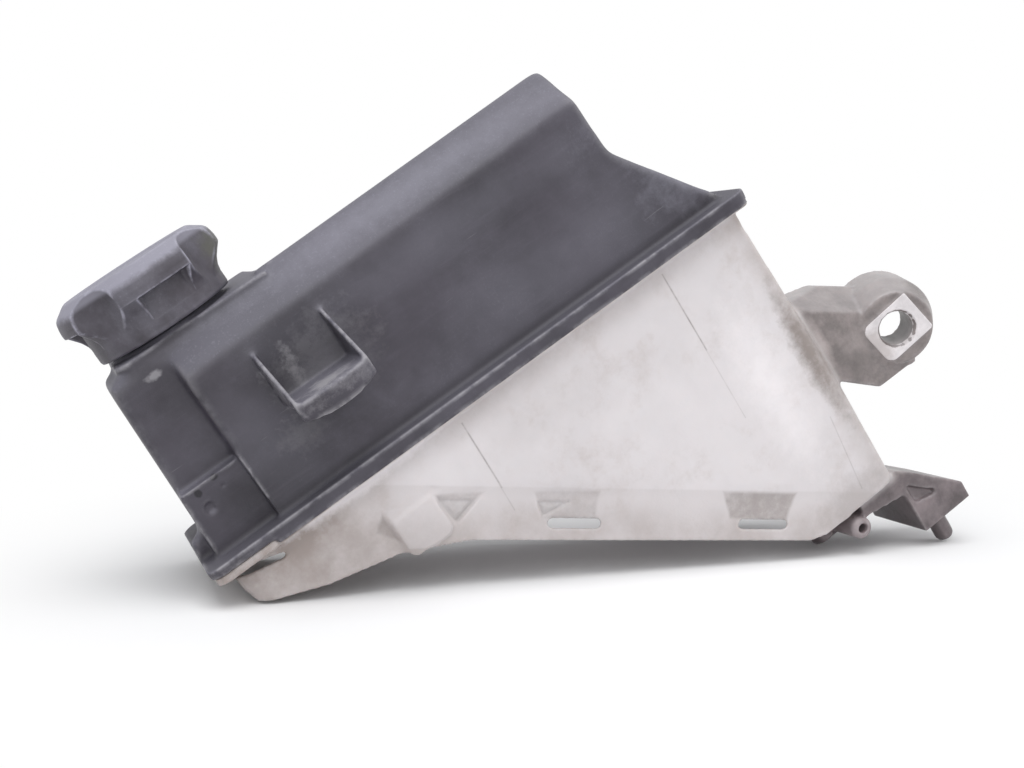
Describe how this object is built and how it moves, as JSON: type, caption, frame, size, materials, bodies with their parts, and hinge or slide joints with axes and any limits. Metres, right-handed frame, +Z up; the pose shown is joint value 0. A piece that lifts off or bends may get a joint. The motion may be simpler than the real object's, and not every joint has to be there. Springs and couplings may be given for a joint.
{
  "type": "coolant expansion tank",
  "caption": "Coolant expansion tank of a car: black welded cover on a wedge-shaped translucent vessel, screw cap with valves, fixing ear, locating pin and hose nipple.",
  "frame": {"origin": "middle of the fixing ear's bore, on its axis", "axes": "+X along the weld flange towards the fixing ear's end, +Y into the tank from its front face, +Z up along the filler neck"},
  "size_m": [0.3611, 0.1284, 0.3385],
  "materials": {
    "cover_plastic": "worn satin, dusty",
    "vessel_plastic": "translucent, stained",
    "cap_plastic": "fine grained, faded",
    "seal_rubber": "matte",
    "valve_brass": "satin",
    "spring_steel": "satin"
  },
  "bodies": {
    "tank": {"upper_shell": "cover_plastic", "lower_shell": "vessel_plastic"},
    "valve_core": {"valve_housing": "cap_plastic", "neck_gasket": "seal_rubber", "upper_seal_ring": "seal_rubber", "lower_seal_ring": "seal_rubber", "spring_retainer": "cap_plastic"},
    "cap": {"cap_grip": "cap_plastic"},
    "pressure_valve": {"pressure_disc": "valve_brass", "pressure_rubber": "seal_rubber", "pressure_spring": "spring_steel", "vacuum_spring": "spring_steel"},
    "vacuum_valve": {"vacuum_poppet": "valve_brass", "vacuum_clip": "spring_steel"}
  },
  "joints": [
    {"name": "cap_rise", "type": "slide", "parent": "tank", "child": "valve_core", "axis": [0, 0, 1], "range_m": [0, 0.0101]},
    {"name": "cap_turn", "type": "hinge", "parent": "valve_core", "child": "cap", "pos_m": [-0.2866, 0.025, 0.2085], "axis": [0, 0, 1], "range_deg": [0, 900]},
    {"name": "pressure_valve_lift", "type": "slide", "parent": "valve_core", "child": "pressure_valve", "axis": [0, 0, 1], "range_m": [0, 0.002], "stiffness_N_per_m": 800, "springref_m": -0.004, "deforming": ["pressure_spring"]},
    {"name": "vacuum_valve_drop", "type": "slide", "parent": "pressure_valve", "child": "vacuum_valve", "axis": [0, 0, -1], "range_m": [0, 0.0015], "stiffness_N_per_m": 150, "springref_m": -0.002, "deforming": ["vacuum_spring"]}
  ],
  "couplings": [
    {"joint": "cap_rise", "follows": "cap_turn", "m_per_rad": 0.00063662}
  ]
}
